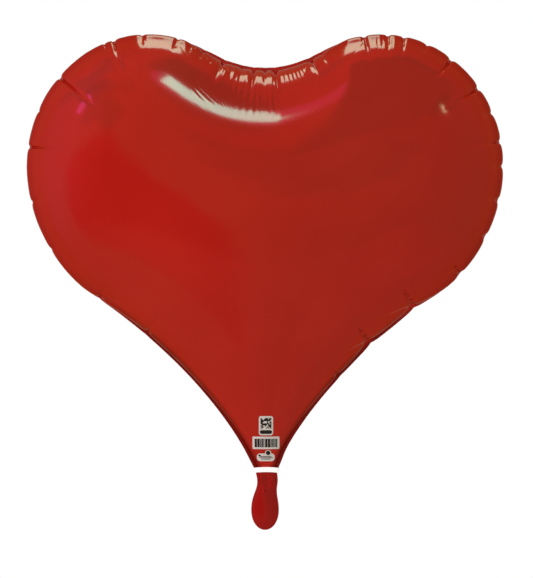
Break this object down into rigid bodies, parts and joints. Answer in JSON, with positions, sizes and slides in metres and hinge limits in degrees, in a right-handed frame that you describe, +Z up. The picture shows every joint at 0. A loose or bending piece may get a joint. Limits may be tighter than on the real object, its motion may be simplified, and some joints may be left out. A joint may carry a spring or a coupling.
{
  "type": "heart-shaped foil balloon",
  "caption": "Filled heart-shaped foil balloon with a welded seam, a neck band and an inflation tail that folds.",
  "frame": {"origin": "middle of the neck, inside the neck band, halfway between the two foil sheets", "axes": "+Z up from the neck to the two lobes, +X to the right seen from the front, front faces -Y"},
  "size_m": [0.522, 0.2404, 0.544],
  "materials": {
    "foil": "metallised film, bright red mirror gloss",
    "foil_tail": "metallised film, bright red, slightly darker where it is slack",
    "valve_film": "clear soft film",
    "band": "white satin ribbon",
    "label": "pale print over the red foil",
    "label_ink": "dark print"
  },
  "bodies": {
    "balloon": {"front_panel": "foil", "back_panel": "foil", "neck_band": "band", "valve_film_front": "valve_film", "valve_film_back": "valve_film", "code_label": "label", "barcode_label": "label", "badge_label": "label"},
    "tail": {"tail_front": "foil_tail", "tail_back": "foil_tail", "valve_tail_front": "valve_film", "valve_tail_back": "valve_film"}
  },
  "joints": [
    {"name": "tail_fold", "type": "hinge", "parent": "balloon", "child": "tail", "pos_m": [0, 0, -0.007], "axis": [1, 0, 0], "range_deg": [-120, 120]}
  ]
}
